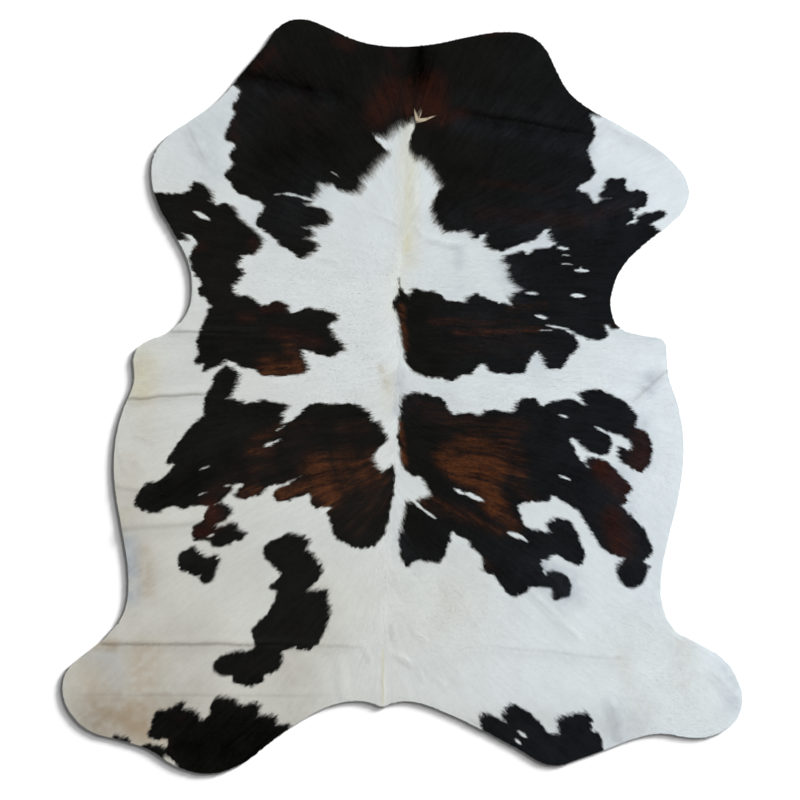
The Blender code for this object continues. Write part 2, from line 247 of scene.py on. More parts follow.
        (51.5, -2.6), (49.6, 0.7), (54.6, 1.9), (60.3, -0.4), (64.3, -3.4), (65.4, -5.5), (64.9, -8.4),
        (67.7, -9.6), (69.3, -12.1), (69.7, -17.7), (67.6, -20.2), (66.7, -21), (63.2, -19.3),
        (60.7, -17.3), (61.1, -14.2), (64, -15.2), (63.6, -11.9), (59, -10.1), (57.4, -10.1), (58.3, -13),
        (57.4, -16.3), (53, -15.4), (48.8, -12.3), (46.9, -11.9), (49.6, -17.7), (52.3, -19.8),
        (51.5, -18.1), (52.7, -17.1), (57, -18.1), (60.9, -21.9), (64.2, -25.8), (62.2, -27.9),
        (63.2, -29.4), (61.5, -31), (66.3, -35.8), (70, -42.8), (67.3, -46.4), (69, -47.6), (67, -52),
        (63.6, -53.8), (61.1, -51.3), (60.3, -47.8), (61.9, -45.3), (57, -43.2), (54.3, -39.5),
        (51.3, -34.7), (48.1, -30.8), (41.1, -27.1), (41.1, -28.7), (38, -29.4), (36, -29.3), (32.5, -30.2),
        (32.9, -32.5), (33.8, -35.4), (36.1, -37.2), (41.5, -38.1), (40.7, -36), (43.4, -34.2),
        (47.3, -35.6), (50, -41.2), (51, -45.1), (48.8, -47), (43.2, -44.1), (41.2, -44.9), (38.8, -46.3),
        (39.5, -48.8), (39.9, -50.2), (41.5, -49), (46.1, -50.3), (46.9, -54.8), (42.6, -57.1),
        (42.2, -53.9), (39, -53.4), (35.9, -53.1), (31.8, -55.8), (28.3, -53.6), (25.6, -50), (22.9, -48.8),
        (22.9, -45.6), (19.6, -42.2), (18.4, -40.3), (15.2, -38.5), (13.7, -37.6), (12.9, -40.8),
        (10.4, -46.3), (4.4, -45.7), (2.1, -47.2), (0.7, -46.8), (-0.8, -40.5), (0.7, -33.5), (1.3, -29.7),
        (3.4, -30), (5, -28.9), (7.9, -27.7), (5.9, -23.1), (2.9, -21.7), (0.7, -20.2), (-0.6, -14.2),
        (-1.2, -10.7), (0, -2.6),
    ),
}

# White flecks and slits in the patches. Columns: start across and along, end across and along, and half
# width, in centimetres.
FLECKS = (
    (-35.8, 56.5, -33.3, 56.8, 0), (-33.3, 56.8, -29.5, 56.4, 0.3), (-29.5, 56.3, -24.9, 54.9, 0.3),
    (43.4, 41.8, 46.2, 41.4, 0.35), (45, 39.7, 47, 39.5, 0.03), (44.5, 37.3, 47.5, 37.1, 0.06),
    (48.3, 35.4, 51.8, 35.2, 0.35), (49.8, 36.2, 50.2, 35.2, 0.2), (-20, 63, -18.2, 61.9, 0),
    (34.6, 29.1, 37.8, 28.7, 0.34), (47.3, 28.5, 50.8, 28.1, 0.5), (37.5, 22.7, 40.5, 21.9, 0.45),
    (40.3, 20, 46.4, 18.9, 0.22), (38.5, 18.6, 41.5, 18.6, 0.04), (-58.3, 51.8, -54.2, 49.6, 0.6),
    (-38.7, -13.9, -36.2, -12.8, 0.42), (-36.2, -12.8, -34.3, -12, 0.2), (-35.2, -9.4, -33, -8.1, 0.06),
    (-56.5, -20.3, -54, -19.4, 0.15), (-56.8, -27.4, -54.8, -26.7, 0), (-54.6, -39.2, -52.8, -38.5, 0.2),
    (32.4, -93.6, 34.7, -95.3, 0.42), (31.6, -95.9, 33.2, -97.2, 0.35), (14.7, -25.8, 17, -27.2, 0.5),
    (17.4, -26.8, 22.6, -29.1, 0.6), (29.5, -38, 34.2, -39.7, 0.65), (33.6, -39.4, 35, -40.7, 0.25),
    (44, -22, 46.9, -23.3, 0.28), (43.8, -5, 46.1, -5.7, 0.22), (54.2, -8.5, 57.3, -10.2, 0.2),
    (3, -29, 5.6, -31.4, 0.36), (5.6, -31.4, 9.4, -34.1, 0.3),
)

# Soft-edged strokes of another colour in the dark hair. Columns: start across and along, end across and
# along, and reach, in centimetres; strength from 0 to 1, half of which is left at the reach.
RUST = (
    (2, 89, 1.6, 79, 2.4, 0.25), (-0.2, 25, 0.6, 13.5, 1.3, 0.56), (-42, 96, -26, 80, 9, 0.2),
    (8, 21, 33, 20.5, 1.6, 0.35), (15, 17.8, 38, 18.7, 1.6, 0.48), (30, 24.5, 40, 25.5, 1.6, 0.35),
    (18, 15, 38, 13, 5, 0.25), (20, 19, 32, 19, 5, 0.25), (56, 20, 60, 19.5, 1.4, 0.3),
    (12.5, -17, 16, -21, 3.6, 0.78), (17, -13.5, 23, -14, 3.6, 0.55), (18, -19.5, 27, -20, 3.8, 0.8),
    (17, -23, 23, -25, 3, 0.65), (7, -4.5, 13, -7, 3, 0.4), (14, -7, 34, -8, 2.6, 0.33),
    (26, -14, 33, -17, 3.4, 0.4), (20, -10.5, 31, -11.5, 3, 0.42), (31, -24, 37, -29, 3, 0.3),
    (28, -20, 33, -22, 3, 0.42), (23, -25, 26, -31, 3.6, 0.85), (27, -32, 30.5, -36, 3.2, 0.55),
    (7, -29, 27, -37, 2.6, 0.42), (-56, 50, -50, 30, 8, 0.16), (-18, -18, -15.5, -25, 3, 0.5),
    (-0.8, -8, 0.4, -19, 1.2, 0.7), (0, -2, 11, -4, 3.4, 0.3), (22, -46, 26, -49, 2, 0.3),
    (-24, -20, -21, -28, 4.6, 0.76), (-16, -17, -10, -23, 5, 0.45), (-9, -17, -6, -23, 3, 0.5),
    (-34, -27, -27, -25, 2.8, 0.62), (-45, -27.5, -41, -25.5, 2.2, 0.58),
    (-41, -12.5, -35, -9.5, 2.2, 0.42), (-43, -15, -37, -15.5, 2.2, 0.45), (-42, -20, -36, -20, 2, 0.35),
    (-30, -9, -25, -8, 3, 0.28), (-17, -9, -11, -9, 3, 0.3), (-13, -36, -6, -28, 4.6, 0.32),
    (-38, 8, -29.5, 8, 3.2, 0.68), (-32, 14, -30, 11, 2.5, 0.5),
)
MAROON = (
    (8, 87, 8.2, 80.5, 4.5, 0.78), (-3, 86, -7, 79, 4.3, 0.68), (2, 87, 1.6, 80, 2.8, 0.6),
    (-3, 99, 3, 99.5, 3, 0.35), (-18, 99.5, -15, 98, 2.2, 0.5), (-4, 96, -1.5, 92, 1.8, 0.4),
    (-41, 92, -37, 96, 2.2, 0.5), (-36, 82, -22, 86, 2.6, 0.25), (-47, 83, -47, 72, 2, 0.4),
    (23, 101.5, 30, 102, 1.2, 0.4), (11, 77.5, 17, 79, 2.4, 0.55), (22, 60, 44, 57, 1.6, 0.35),
    (22, 51, 50, 49, 3, 0.4), (54, 50, 61, 53, 2.5, 0.4), (67, -11, 66, -19, 4, 0.68),
    (56, -20, 63, -27, 3.2, 0.9), (59.5, -34.5, 61.5, -42.5, 4, 0.8), (-54, -31, -53, -35, 3, 0.75),
    (-58, -38, -55, -38, 2, 0.7), (-39, 24.5, -33, 25, 1.8, 0.5), (-36, 18, -24, 15, 2.4, 0.5),
    (-45, 22, -42, 22, 1.8, 0.5), (-42, 43, -41, 41, 2, 0.5), (-59, 41, -56, 42, 1.8, 0.4),
    (-45, -22, -30, -12, 6, 0.24), (-54, -27, -49, -25, 2.4, 0.35), (-66, -87, -62, -90, 2.4, 0.25),
    (-65, -96, -65, -99, 1.2, 0.25),
)

# The same on the white hair
DUST = (
    (-86, -89.5, -74, -91.5, 7.5, 0.95), (-72, -42, -69, -58, 9, 0.12), (-84, -90, -64, -88, 12, 0.6),
    (-88, -76, -64, -72, 11, 0.33), (-80, -32, -77, -36, 9, 0.22), (-73, -50, -74, -60, 8, 0.26),
    (-56, -84, -48, -87, 7, 0.2), (-48, -44, -42, -46, 8, 0.18), (-26, -56, -23, -68, 8, 0.34),
    (-30, -70, -30, -92, 8, 0.38), (-24, -45, -12, -50, 9, 0.15), (-14, -66, -10, -82, 9, 0.1),
    (22, -93, 66, -93, 5, 0.25), (72, -90, 82, -94, 8, 0.14), (8, -44, 18, -47, 6, 0.1),
)
TAN = (
    (-73, 8, -72.5, 1, 3, 0.3), (-71.5, -1, -72, -10, 3, 0.12), (-76.5, -19, -76.5, -33, 3, 0.15),
    (-72.8, -43, -71.6, -54.5, 2, 0.4), (-85.5, -69.4, -81, -69.6, 1.6, 0.6),
    (-72, -73, -74, -80, 4.5, 0.38), (-86, -80, -78, -90, 6, 0.3), (-76, -88, -70, -94, 6, 0.38),
    (61, -72.5, 67.2, -87.9, 2.6, 0.14), (78.5, -69, 78.5, -79.5, 3.2, 0.15), (12, -56, 14, -59, 3, 0.15),
    (-6.5, 8.5, -5.5, 6.5, 0.6, 0.35), (-5, 4.5, -4, 1.5, 0.9, 0.25),
)
CREAM = (
    (1.8, 66, 1.6, 38, 2.4, 0.4), (1.4, 62.5, 1.4, 55.5, 1.1, 0.5), (1.4, 44.5, 1.4, 41, 1.4, 0.6),
    (1.6, 76, 0.5, 66, 2, 0.3), (68, -70, 82, -82, 10, 0.1), (76, -66, 79, -72, 5, 0.12),
    (-3.5, 6, -4, -3, 1.8, 0.2), (0, 40, -1.5, 24, 3, 0.15), (-72, 9, -73, 2, 4, 0.35),
    (-5.5, -71, -5.5, -86, 0.28, 0.5), (-22, -57, 12, -57, 10, 0.09),
)
# Blue-grey stains on the white hair, and painted sheen where these strokes fall on the dark hair
BLUE_GREY_AND_SHEEN = (
    (-76.6, -42, -76, -55, 2.8, 0.6), (-82.6, -2, -83.6, -13, 1.4, 0.3), (-0.6, -40, 3, -46, 2, 0.2),
    (-84, -72, -80, -79, 4, 0.22), (60, -88, 61, -95, 3.5, 0.25), (91, -76, 93, -86, 3, 0.25),
    (68.5, 2, 69.5, 5, 2, 0.35), (15.8, 41, 15.8, 37, 1.8, 0.25), (-46, 80, -56, 73, 6, 0.2),
    (-57, 72, -54, 63, 4, 0.22), (-1, 6, -1.6, -4, 1.5, 0.35), (16, 76.5, 52, 69, 2.2, 0.4),
    (16, 83.5, 52, 77, 2.2, 0.12), (-40, 86, -20, 83, 2, 0.25), (56, 75, 72, 69, 2.4, 0.15),
    (62, 18.5, 74, 17, 2, 0.2), (70, -40, 68, -60, 12, 0.1), (61, -23, 64, -44, 3.6, 0.35),
    (66, -8, 67, -18, 3, 0.3), (54, 50, 63, 55, 3.4, 0.4), (15, 50, 40, 46, 4, 0.3),
    (42, 54, 58, 56, 5, 0.25), (18, 24, 38, 12, 7, 0.22), (30, 36, 34, 28, 4, 0.3),
    (38, -48, 46, -54, 4, 0.55), (0, -1.5, 10, -3, 4, 0.18), (-34, 50, -26, 58, 6, 0.2),
)

# Where the patches' edges are fluffier. Columns as above.
FLUFFY = (
    (-3, 76, -12, 61, 4.5, 1), (-12, 61, -30, 57, 4, 0.45), (2.5, 75, 13, 58, 4.5, 0.7),
    (9, 50, 36, 44, 3.5, 0.35), (29, 38, 31, 25, 3.5, 0.3), (-25, 50, -28, 40, 3.5, 0.35),
    (-40, 46, -52, 56, 3.5, 0.25),
)

# Where dark hair is dull and darker; its neck rows are painted crease shade. Columns as above.
DULL_AND_CREASE_SHADE = (
    (-58, -96, -42, -98, 12, 0.9), (-47, 91, -18, 84.5, 2.5, 0.7), (5, 98.5, 5.2, 89, 3, 0.8),
    (-66, -27, -56, -22, 4, 0.6), (-36, 66, -24, 70, 6, 0.4),
)

# Where white hair is ruffled, with stronger streaks. Columns as above.
RUFFLED = (
    (-1, 30, -2, 5, 2.5, 0.8), (-2, 5, -3, -40, 2.2, 1), (-3, -40, -5.6, -86, 2, 0.7),
    (1.6, 76, 1.6, 40, 2.5, 0.6), (-6, 12, -4, 0, 2.5, 0.7), (-20, -72, 8, -76, 6, 0.4),
)

# The spine's line. Columns: along and across, in centimetres.
SPINE = (
    (-105, -5.6), (-65, -5.4), (-45, -4), (-30, -2.4), (-10, -1.6), (0, -1.8), (11, -0.6), (24, -2.6),
    (36, -0.6), (50, 0.6), (75, 1.2), (105, 2),
)
# How the hair lies: its angle over the horizontal, towards the neck, in degrees. Columns: along, in
# centimetres; the angle on the spine, and at 8, 31 and 70 cm out from it.
FLOW = (
    (-105, -88, -75, -50, -40),
    (-75, -88, -68, -45, -38),
    (-50, -85, -52, -38, -36),
    (-30, -80, -34, -24, -38),
    (-18, -78, -15, -8, -29),
    (-5, -75, -9, -6, -10),
    (13, -75, -6, -3, -2),
    (27, -60, -2, 0, 0),
    (37, 0, 4, 4, 4),
    (48, 70, 36, 14, 12),
    (60, 82, 55, 32, 20),
    (78, 86, 65, 45, 38),
    (105, 88, 75, 62, 55),
)
FLANK_ACROSS = 70.0 * CM
PARTING_WIDTH = 0.5 * CM
LEAST_LEAN = 0.1  # how far hair on the parting itself leans to one side
MARKS_ORIGIN = (0.0, -1.4 * MM)  # where the outlines and flecks are measured from

# The patches' edges: hair that runs into a patch fringes it, and hair that leaves one ends in small lobes
FRINGE_DEPTH = 8.0 * MM
FRINGE_LENGTH = 28.0 * MM
FRINGE_WIDTH = 4.0 * MM
FEATHER_DEPTH = 3.5 * MM  # how unevenly single locks end in a fringe
LOBE_DEPTH = 3.5 * MM
LOBE_WIDTH = 18.0 * MM
EDGE_BLUR = 6.5 * MM
FRINGE_BLUR = 11.0 * MM
FLUFF_BLUR = 30.0 * MM
FLUFF_EVENNESS = 0.4  # how much shallower the fringe is in fluffy hair
FRINGE_SHIFT = 2.0 * MM  # tips of white hair lie this far over a patch
EDGE_LEVEL = 0.68  # how dark the hair is on an outline
FLECK_BLUR = 5.2 * MM
FLECK_UNEVEN = 0.25  # of the patches' unevenness
FLECK_TAPER = 0.75  # how much narrower a fleck's ends are

# Random layers. Columns: strength, cell, and salt, which sets a layer apart from the others.
FLOW_NOISES = ((7.0, 90.0 * MM, 3), (4.0, 25.0 * MM, 11))  # degrees
TONE_NOISES = ((0.15, 45.0 * MM, 7),)
BLOTCHES = ((0.5, 14.0 * MM, 8), (0.4, 40.0 * MM, 9))
COOL_NOISES = ((0.05, 120.0 * MM, 15),)
# Random streaks along the hair. Columns: strength, length, width and salt.
BRINDLE = ((0.9, 45.0 * MM, 4.5 * MM, 4), (0.7, 80.0 * MM, 9.0 * MM, 5))
TONE_STREAKS = ((0.25, 60.0 * MM, 5.0 * MM, 6),)
CREAM_STREAKS = ((0.4, 50.0 * MM, 8.0 * MM, 14),)

STROKE_FALLOFF = 0.7  # a stroke's strength falls by exp(-0.7), to a half, at its reach
# How the brindle breaks up a stroke: its strength is raised, swings with the brindle and loses its foot
BRINDLE_GAIN = 1.2
BRINDLE_SWING = 0.62
BRINDLE_FOOT = 0.12
MAROON_BRINDLE = 0.45  # of the brindle's swing
# How much of a stain there is between the blotches, and for dust how much they add
DUST_LEVEL = 0.65
DUST_BLOTCHES = 0.3
STAIN_LEVEL = 0.4
CREAM_LEVEL = 0.9
BLOTCH_LEVEL = 0.75

# The colours turn from warm to cool towards the upper right: the cool share, how fast it grows a metre
# across and along, and how much faster along for each metre across. Dark hair has a share of its own.
COOL_AT_MIDDLE = 0.55
COOLING = (0.52, 0.24)
COOLING_TWIST = -0.34
DARK_COOL_AT_MIDDLE = -0.1
DARK_COOLING = (1.9, -0.3)

HAIR_GLOSS = 0.045
HAIR_ROUGHNESS = 0.42
# How much lighter or darker single streaks of hair are
WHITE_TONE_SWING = 0.14
RUFFLED_GAIN = 1.5  # as much stronger again where the hair is ruffled
DARK_TONE_SWING = 1.5
CREASE_SHADE_DIMMING = -0.6  # painted crease shade: what a crease takes off dark hair
DULL_AND_SHADE_DIMMING = 0.4  # how much darker dull hair is; along the neck folds this is painted shade
# The last set holds painted crease shade, the cool share, cream and gloss
MARKING_SETS = ("markings", "stains", "crease_shade_and_tints")

# The cream tuft. Columns: root across and along, tip across and along, bow and spread of the roots, in
# centimetres; number of hairs.
TUFT = (
    (4.2, 77.2, 3.2, 80.8, 0.2, 0.25, 28),
    (3.9, 77.3, 9.9, 78.7, -0.9, 0.32, 46),
    (4.4, 77.8, 5.6, 81.4, -0.2, 0.4, 6),
)
TUFT_HAIR_WIDTH = 0.9 * MM
TUFT_STEPS = 7
TUFT_RISE = 2.6 * MM
TUFT_ROOT_RISE = 0.3  # the share of the rise that the roots have, and how fast it grows along a hair
TUFT_STEEPNESS = 3.0
TUFT_LENGTHS = (0.6, 1.0)  # the least and the most of the way to the tip
TUFT_TIP_SPREAD = 0.25  # of the roots' spread
TUFT_BOW_SPREAD = 0.12  # centimetres

# The underside
SUEDE_MOTTLE = 0.6
SUEDE_LEVEL = 0.2
NAP_STRENGTH = 0.35
NAP_DEPTH = 0.4 * MM

# The floor and the light on it and on the hide
FLOOR_SIZE = 40.0
FLOOR_GAP = 0.3 * MM
FLOOR_SHADE = (0.91, 0.91, 0.91, 1.0)
FLOOR_LIGHT = (0.93, 0.93, 0.93, 1.0)
HORIZON_STOP = 0.25
ROOM_LEVELS = (0.95, 0.2, 0.08)  # at the horizon, at that stop and overhead
LAMP_DISTANCE = 4.0
# Columns: azimuth from +X, anticlockwise, and elevation, in degrees; strength; spread, in degrees; what
# it lights.
LIGHTS = {
    "key": (50.0, 50.0, 2.15, 30.0, "hide"),
    "overhead": (0.0, 90.0, 1.4, 110.0, "hide"),
    "low": (37.0, 7.5, 15.7, 6.0, "floor"),
    "middle": (37.0, 16.0, 4.0, 18.0, "floor"),
}

# The charts and the random layers
CHART_PITCH = 4.0 * MM
CHART_MARGIN = 30.0 * MM
FAR_OUTSIDE = -1.0  # the depth of a place far from every outline
NOISE_CELLS = 256
NOISE_SHIFT = 31.7  # cells from one layer to the next
STREAK_GAIN = 0.75
TINY = 1e-12  # keeps a segment without length from dividing by zero
MAP_MARGIN = 0.002  # of the colours' map, at each side

# The coat's pieces. Columns: name; where it starts and ends along the hide, in metres.
COAT_BANDS = (
    ("coat_neck", 0.45, 1.20),
    ("coat_waist", -0.04, 0.45),
    ("coat_flanks", -0.50, -0.04),
    ("coat_rump", -1.20, -0.50),
)

noise_table = np.random.default_rng(SEED).uniform(-1.0, 1.0, (NOISE_CELLS, NOISE_CELLS))


def colour(red, green, blue):
    """A colour from 0 to 255 a channel, as shown on a screen, in the renderer's linear values."""
    shown = np.array((red, green, blue)) / 255.0
    linear = np.where(shown <= 0.04045, shown / 12.92, ((shown + 0.055) / 1.055) ** 2.4)
    return (*(float(value) for value in linear), 1.0)


COOL_WHITE_HAIR = colour(219, 228, 233)
WARM_WHITE_HAIR = colour(193, 193, 186)
DUSTY_HAIR = colour(141, 132, 119)
TAN_HAIR = colour(160, 136, 98)
CREAM_HAIR = colour(202, 196, 158)
BLUE_GREY_HAIR = colour(140, 152, 166)
# Painted crease shade, with dirt, on the white hair
CREASE_SHADE_AND_DIRT = colour(92, 82, 70)
# Painted sheen on the dark hair
PAINTED_SHEEN = colour(30, 34, 40)
COOL_BLACK_HAIR = colour(16, 19, 22)
WARM_BLACK_HAIR = colour(13, 13, 11)
RUST_HAIR = colour(50, 26, 14)
FAWN_HAIR = colour(72, 40, 21)
MAROON_HAIR = colour(42, 18, 11)
TUFT_HAIR = colour(188, 174, 150)
SUEDE = colour(196, 176, 146)
SUEDE_SHADE = colour(168, 146, 116)


def eased(share):
    """From 0 to 1, with soft ends."""
    share = np.clip(share, 0.0, 1.0)
    return share * share * (3.0 - 2.0 * share)


def noise(places, cell, salt=0):
    """Smooth random numbers from -1 to 1 that change over the length of a cell."""
    scaled = places / cell + NOISE_SHIFT * salt
    low = np.floor(scaled).astype(int)
    part = eased(scaled - low)
    x, y = (low % NOISE_CELLS).T
    x_next = (x + 1) % NOISE_CELLS
    y_next = (y + 1) % NOISE_CELLS
    bottom = noise_table[x, y] + part[:, 0] * (noise_table[x_next, y] - noise_table[x, y])
    top = noise_table[x, y_next] + part[:, 0] * (noise_table[x_next, y_next] - noise_table[x, y_next])
    return bottom + part[:, 1] * (top - bottom)


def streaks(places, flow, length, width, salt):
    """Random numbers from about -1 to 1, drawn out along the hair."""
    count = round(length / width)
    total = np.zeros(len(places))
    for share in np.linspace(-0.5, 0.5, count):
        total += noise(places + flow * (share * length), width, salt)
    return total * STREAK_GAIN / math.sqrt(count)


def noise_layers(places, layers):
    """The sum of a table of random layers."""
    return sum(strength * noise(places, *sizes) for strength, *sizes in layers)


def streak_layers(places, flow, layers):
    """The sum of a table of random streaks along the hair."""
    return sum(strength * streaks(places, flow, *sizes) for strength, *sizes in layers)


def flow_at(places):
    """The direction in which the hair lies at each place."""
    rows = np.array(FLOW)
    marks = np.array(SPINE) * CM
    offset = places[:, 0] - np.interp(places[:, 1], *marks.T)
    column = (len(rows[0]) - 2) * np.sqrt(np.clip(np.abs(offset) / FLANK_ACROSS, 0.0, 1.0))
    angle = noise_layers(places, FLOW_NOISES)
    for number, angles in enumerate(rows[:, 1:].T):
        weight = np.clip(1.0 - np.abs(column - number), 0.0, 1.0)
        angle += weight * np.interp(places[:, 1], rows[:, 0] * CM, angles)
    side = np.clip(offset / PARTING_WIDTH, -1.0, 1.0)
    side = np.where(np.abs(side) < LEAST_LEAN, LEAST_LEAN, side)
    flow = np.stack((side * np.cos(np.radians(angle)), np.sin(np.radians(angle))), axis=1)
    return flow / np.linalg.norm(flow, axis=1, keepdims=True)


def segment_offsets(places, start, end):
    """For each place, how far along a segment its nearest point is, from 0 to 1, and the distance to it."""
    run = end - start
    offset = places - start
    share = np.clip(offset @ run / max(run @ run, TINY), 0.0, 1.0)
    return share, np.hypot(*(offset - share[:, None] * run).T)


def stroke_offsets(places, ends):
    """The same for a segment given as four of a table's columns, in centimetres."""
    return segment_offsets(places, *(np.array(ends).reshape(2, 2) * CM))


def signed_depth(places, loop):
    """How deep each place lies inside a closed loop: the distance to it, negative outside."""
    nearest = np.full(len(places), np.inf)
    within = np.zeros(len(places), bool)
    for start, end in zip(loop, np.roll(loop, -1, axis=0)):
        nearest = np.minimum(nearest, segment_offsets(places, start, end)[1])
        if start[1] != end[1]:
            level = (start[1] > places[:, 1]) != (end[1] > places[:, 1])
            slope = (end[0] - start[0]) / (end[1] - start[1])
            within ^= level & (places[:, 0] < start[0] + slope * (places[:, 1] - start[1]))
    return np.where(within, nearest, -nearest)


def curved(marks, steps=4):
    """A closed run of points on a smooth curve through the marks."""
    marks = np.array(marks) * CM
    before, after, beyond = (np.roll(marks, shift, axis=0) for shift in (1, -1, -2))
    points = []
    for step in range(steps):
        t = step / steps
        points.append(
            0.5 * (2 * marks + (after - before) * t + (2 * before - 5 * marks + 4 * after - beyond) * t**2
                   + (3 * marks - before - 3 * after + beyond) * t**3)
        )
    return np.stack(points, axis=1).reshape(-1, 2)


class Chart:
    """A grid over the hide that holds a number at each of its points, to be read anywhere between them."""

    low = np.array((-HIDE_WIDTH, -HIDE_LENGTH)) / 2 - CHART_MARGIN
    counts = np.ceil((np.array((HIDE_WIDTH, HIDE_LENGTH)) + 2 * CHART_MARGIN) / CHART_PITCH).astype(int) + 1
    across, along = np.meshgrid(*(np.arange(count) * CHART_PITCH for count in counts), indexing="ij")
    places = np.stack((across.ravel(), along.ravel()), axis=1) + low

    def __init__(self, values):
        self.values = values.reshape(self.counts)

    def at(self, places):
        """The numbers at these places."""
        just_inside = self.counts - 1.001
        cells = np.clip((places - self.low) / CHART_PITCH, 0.0, just_inside)
        x, y = cells.astype(int).T
        right, up = (cells - np.floor(cells)).T
        grid = self.values
        bottom = grid[x, y] * (1 - right) + grid[x + 1, y] * right
        top = grid[x, y + 1] * (1 - right) + grid[x + 1, y + 1] * right
        return bottom * (1 - up) + top * up

    def slopes(self):
        """Two charts: how fast the numbers grow across and along."""
        return [Chart(slope) for slope in np.gradient(self.values, CHART_PITCH)]


def depth_chart(loops):
    """A chart of the depth inside the deepest of the loops."""
    depth = np.full(len(Chart.places), FAR_OUTSIDE)
    for loop in loops:
        near = np.all((Chart.places > loop.min(axis=0) - CHART_MARGIN)
                      & (Chart.places < loop.max(axis=0) + CHART_MARGIN), axis=1)
        depth[near] = np.maximum(depth[near], signed_depth(Chart.places[near], loop))
    return Chart(depth)


def hide_outline():
    """The cut edge as a closed run of points: where the solid's underside meets its rim."""
    steep = 0.5
    bm = bmesh.new()
    bm.from_mesh(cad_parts["hide"].data)
    bmesh.ops.remove_doubles(bm, verts=bm.verts, dist=WELD_DISTANCE)
    bm.normal_update()
    following = {}
    for edge in bm.edges:
        tilts = sorted(face.normal.z for face in edge.link_faces)
        if tilts[0] < -steep and abs(tilts[-1]) < steep:
            a, b = edge.verts
            following.setdefault(a, []).append(b)
            following.setdefault(b, []).append(a)
    first = next(iter(following))
    previous, current = None, first
    loop = []
    while current is not first or not loop:
        loop.append(tuple(current.co.xy))
        a, b = following[current]
        previous, current = current, (b if a is previous else a)
    bm.free()
    return np.array(loop)


def evenly_spaced(loop, step):
    """A closed run of points about a step apart on the loop."""
    closed = np.vstack((loop, loop[:1]))
    travelled = np.concatenate(([0.0], np.cumsum(np.hypot(*np.diff(closed, axis=0).T))))
    count = round(travelled[-1] / step)
    wanted = np.arange(count) * travelled[-1] / count
    return np.stack([np.interp(wanted, travelled, closed[:, axis]) for axis in (0, 1)], axis=1)


def turned_left(loop):
    """The loop in anticlockwise order."""
    area = np.sum(loop[:, 0] * np.roll(loop[:, 1], -1) - np.roll(loop[:, 0], -1) * loop[:, 1])
    return loop if area > 0 else loop[::-1]


def inset(loop, distance):
    """The anticlockwise loop, moved in by this distance."""
    onward = np.roll(loop, -1, axis=0) - np.roll(loop, 1, axis=0)
    onward /= np.linalg.norm(onward, axis=1, keepdims=True)
    return loop + distance * np.stack((-onward[:, 1], onward[:, 0]), axis=1)


def fold_offsets(places):
    """For each fold: its sizes, how dark it is, how far it has faded in, and the distances to it."""
    wander = [FOLD_WANDER * noise(places, FOLD_WANDER_CELL, salt) for salt in (12, 13)]
    strayed = places + np.stack(wander, axis=1)
    for *ends, half_width, height, crease_width, shade in FOLDS.values():
        share, away = stroke_offsets(strayed, ends)
        fade = eased(np.minimum(share, 1.0 - share) / FOLD_FADE)
        yield half_width * CM, height * MM, crease_width * MM, shade, fade, away


def relief(places):
    """Height of the leather's underside over the floor."""
    total = UNEVEN_HEIGHT * (0.5 + 0.5 * noise(places, UNEVEN_CELL, salt=16))
    for half_width, height, crease_width, shade, fade, away in fold_offsets(places):
        ridge = 0.5 + 0.5 * np.cos(np.pi * np.clip(away / half_width, 0.0, 1.0))
        crease = 0.5 + 0.5 * np.cos(np.pi * np.clip(away / (CREASE_REACH * crease_width), 0.0, 1.0))
        total += height * fade * (ridge - CREASE_SHARE * shade * crease)
    return total * np.clip(hide_depth.at(places) / SETTLED_RIM, 0.0, 1.0)


def crease_shade_at(places):
    """How dark the painted crease shade is at each place, from 0 to 1."""
    total = np.zeros(len(places))
    for _, _, crease_width, shade, fade, away in fold_offsets(places):
        line = np.exp(-((away / crease_width) ** 2))
        soft_shade = np.exp(-((away / (SOFT_SHADE_WIDTH * crease_width)) ** 2))
        total = np.maximum(total, shade * fade * ((1.0 - SOFT_SHADE_SHARE) * line + SOFT_SHADE_SHARE * soft_shade))
    return total


def triangle_grid(pitch):
    """Points of an even triangular grid over the hide's bounds."""
    row_pitch = pitch * math.sqrt(3) / 2
    rows = np.arange(-HIDE_LENGTH / 2, HIDE_LENGTH / 2, row_pitch)
    columns = np.arange(-HIDE_WIDTH / 2, HIDE_WIDTH / 2, pitch)
    across, along = np.meshgrid(columns, rows)
    across = across + 0.5 * pitch * (np.arange(len(rows)) % 2)[:, None]
    return np.stack((across.ravel(), along.ravel()), axis=1)


def strokes_at(places, strokes):
    """How strongly a table of soft-edged strokes tints each place, from 0 to 1."""
    tint = np.zeros(len(places))
    for *ends, reach, strength in strokes:
        _, away = stroke_offsets(places, ends)
        tint = np.maximum(tint, strength * np.exp(-STROKE_FALLOFF * (away / (reach * CM)) ** 2))
    return tint


def fleck_depth(places):
    """How deep each place lies inside a white fleck, negative outside."""
    depth = np.full(len(places), FAR_OUTSIDE)
    for *ends, half_width in FLECKS:
        share, away = stroke_offsets(places, ends)
        taper = 1.0 - FLECK_TAPER * np.abs(2.0 * share - 1.0) ** 2
        depth = np.maximum(depth, half_width * CM * taper - away)
    return depth


outline = turned_left(hide_outline())
hide_depth = depth_chart([outline])
patch_depth = depth_chart([curved(marks) for marks in PATCHES.values()])
deeper_across, deeper_along = patch_depth.slopes()


